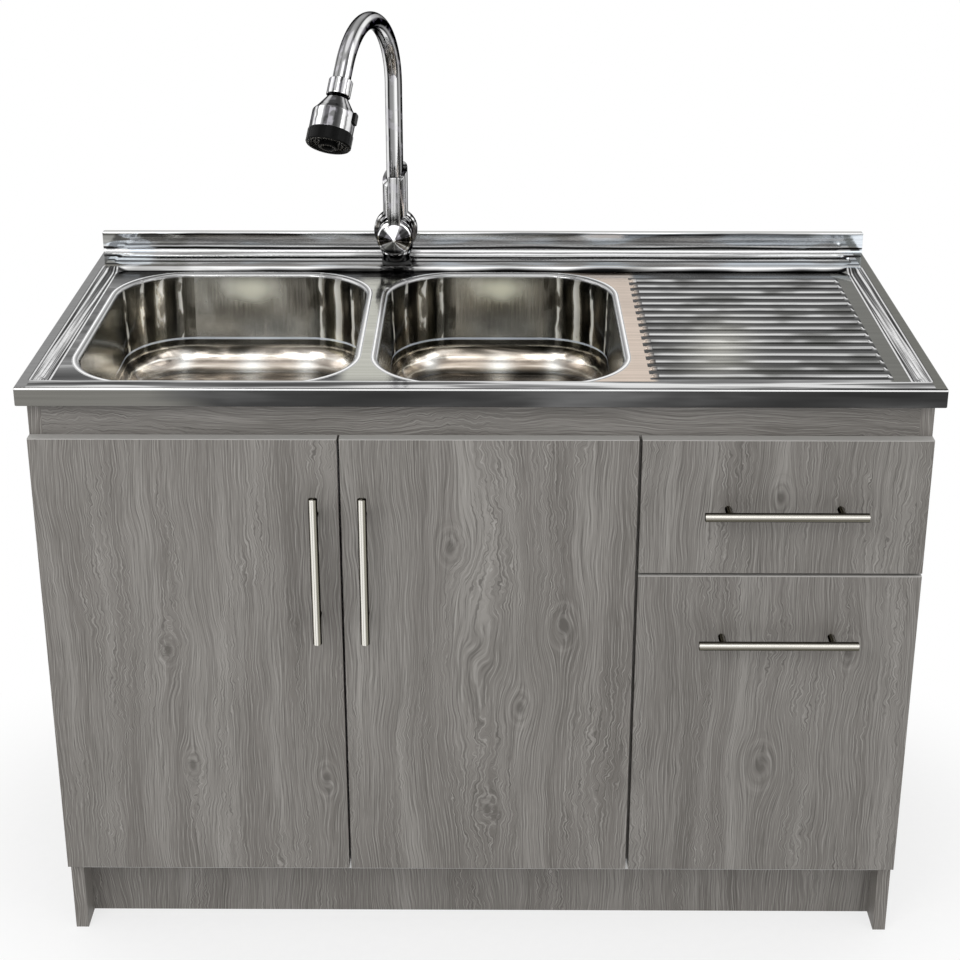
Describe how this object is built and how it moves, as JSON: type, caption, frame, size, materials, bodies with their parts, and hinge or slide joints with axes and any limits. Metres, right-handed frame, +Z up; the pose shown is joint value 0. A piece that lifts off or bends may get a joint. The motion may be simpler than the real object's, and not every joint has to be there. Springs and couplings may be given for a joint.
{
  "type": "kitchen sink unit",
  "caption": "Floor-standing kitchen sink unit: wood-grain cabinet with doors and drawers, stainless sit-on sink top with bowls, ribbed drainer and upstand, chrome gooseneck lever tap.",
  "frame": {"origin": "on the floor, midway across the overall width and depth, handles included", "axes": "+X to the right along the front, +Y to the back (the front faces -Y), +Z up"},
  "size_m": [1.2, 0.626, 1.259],
  "materials": {
    "wood_board": "matt grey oak melamine with a fine ripple grain",
    "stainless": "bright polished, slightly streaked",
    "satin_nickel": "satin",
    "zinc_steel": "bright zinc plate",
    "chrome": "mirror",
    "chromed_plastic": "mirror chrome plate on plastic",
    "black_plastic": "satin",
    "black_rubber": "matt",
    "white_plastic": "satin"
  },
  "bodies": {
    "cabinet": {"side_panel_left": "wood_board", "side_panel_right": "wood_board", "divider_panel": "wood_board", "bottom_panel": "wood_board", "kick_board": "wood_board", "rails": "wood_board", "sink_battens": "wood_board", "back_panel": "wood_board", "sink_top": "stainless", "bowl_left": "stainless", "bowl_right": "stainless", "strainers": "stainless", "runner_outer": "zinc_steel", "hinge_plates": "zinc_steel", "hinge_arms": "zinc_steel", "tap_shank": "zinc_steel", "tap_nut": "zinc_steel", "tap_cartridge": "zinc_steel", "tap_body": "chrome", "tap_gasket": "black_rubber", "strainer_gaskets": "black_rubber", "waste_nuts": "white_plastic", "cross_pipe": "white_plastic", "waste_tee": "white_plastic", "trap": "white_plastic"},
    "door_left": {"door_left": "wood_board", "door_left_hinge_cups": "zinc_steel", "door_left_handle_bar": "satin_nickel", "door_left_handle_posts": "satin_nickel"},
    "door_middle": {"door_middle": "wood_board", "door_middle_hinge_cups": "zinc_steel", "door_middle_handle_bar": "satin_nickel", "door_middle_handle_posts": "satin_nickel"},
    "drawer_upper": {"drawer_upper_front": "wood_board", "drawer_upper_sides": "wood_board", "drawer_upper_back": "wood_board", "drawer_upper_bottom": "wood_board", "drawer_upper_handle_bar": "satin_nickel", "drawer_upper_handle_posts": "satin_nickel", "drawer_upper_runner_inner": "zinc_steel"},
    "drawer_lower": {"drawer_lower_front": "wood_board", "drawer_lower_sides": "wood_board", "drawer_lower_back": "wood_board", "drawer_lower_bottom": "wood_board", "drawer_lower_handle_bar": "satin_nickel", "drawer_lower_handle_posts": "satin_nickel", "drawer_lower_runner_inner": "zinc_steel"},
    "runner_upper": {"drawer_upper_runner_middle": "zinc_steel"},
    "runner_lower": {"drawer_lower_runner_middle": "zinc_steel"},
    "spout": {"spout_tube": "chrome", "spray_collar": "chrome"},
    "spray_ball": {"spray_ball": "chrome"},
    "spray_head": {"spray_shell": "chromed_plastic", "spray_ring": "black_plastic", "spray_nozzle": "black_plastic"},
    "spray_button": {"spray_button": "black_plastic"},
    "lever_turn": {"lever_spindle": "chrome"},
    "lever_lift": {"lever": "chrome"},
    "basket_left": {"basket_left": "stainless"},
    "basket_right": {"basket_right": "stainless"}
  },
  "joints": [
    {"name": "door_left_hinge", "type": "hinge", "parent": "cabinet", "child": "door_left", "pos_m": [-0.59, -0.281, 0.449], "axis": [0, 0, -1], "range_deg": [0, 105]},
    {"name": "door_middle_hinge", "type": "hinge", "parent": "cabinet", "child": "door_middle", "pos_m": [0.207, -0.281, 0.449], "axis": [0, 0, 1], "range_deg": [0, 84]},
    {"name": "drawer_upper_slide", "type": "slide", "parent": "cabinet", "child": "drawer_upper", "axis": [0, -1, 0], "range_m": [0, 0.4]},
    {"name": "runner_upper_slide", "type": "slide", "parent": "cabinet", "child": "runner_upper", "axis": [0, -1, 0], "range_m": [0, 0.2]},
    {"name": "drawer_lower_slide", "type": "slide", "parent": "cabinet", "child": "drawer_lower", "axis": [0, -1, 0], "range_m": [0, 0.4]},
    {"name": "runner_lower_slide", "type": "slide", "parent": "cabinet", "child": "runner_lower", "axis": [0, -1, 0], "range_m": [0, 0.2]},
    {"name": "spout_swivel", "type": "hinge", "parent": "cabinet", "child": "spout", "pos_m": [-0.134, 0.262, 0.97], "axis": [0, 0, 1], "continuous": true},
    {"name": "spray_turn", "type": "hinge", "parent": "spout", "child": "spray_ball", "pos_m": [-0.20101, 0.03432, 1.15412], "axis": [-0.166, -0.5639, -0.809], "continuous": true},
    {"name": "spray_tilt", "type": "hinge", "parent": "spray_ball", "child": "spray_head", "pos_m": [-0.20101, 0.03432, 1.15412], "axis": [-0.9593, 0.2823, 0], "range_deg": [-15, 15]},
    {"name": "spray_button_press", "type": "slide", "parent": "spray_head", "child": "spray_button", "axis": [-0.9593, 0.2823, 0], "range_m": [0, 0.0025], "stiffness_N_per_m": 300},
    {"name": "lever_temperature", "type": "hinge", "parent": "cabinet", "child": "lever_turn", "pos_m": [-0.134, 0.228, 0.905], "axis": [0, -1, 0], "range_deg": [-45, 45]},
    {"name": "lever_flow", "type": "hinge", "parent": "lever_turn", "child": "lever_lift", "pos_m": [-0.134, 0.228, 0.905], "axis": [1, 0, 0], "range_deg": [0, 20]},
    {"name": "basket_left_lift", "type": "slide", "parent": "cabinet", "child": "basket_left", "axis": [0, 0, 1], "range_m": [0, 0.05]},
    {"name": "basket_right_lift", "type": "slide", "parent": "cabinet", "child": "basket_right", "axis": [0, 0, 1], "range_m": [0, 0.05]}
  ],
  "couplings": [
    {"joint": "runner_upper_slide", "follows": "drawer_upper_slide", "ratio": 0.5},
    {"joint": "runner_lower_slide", "follows": "drawer_lower_slide", "ratio": 0.5}
  ]
}
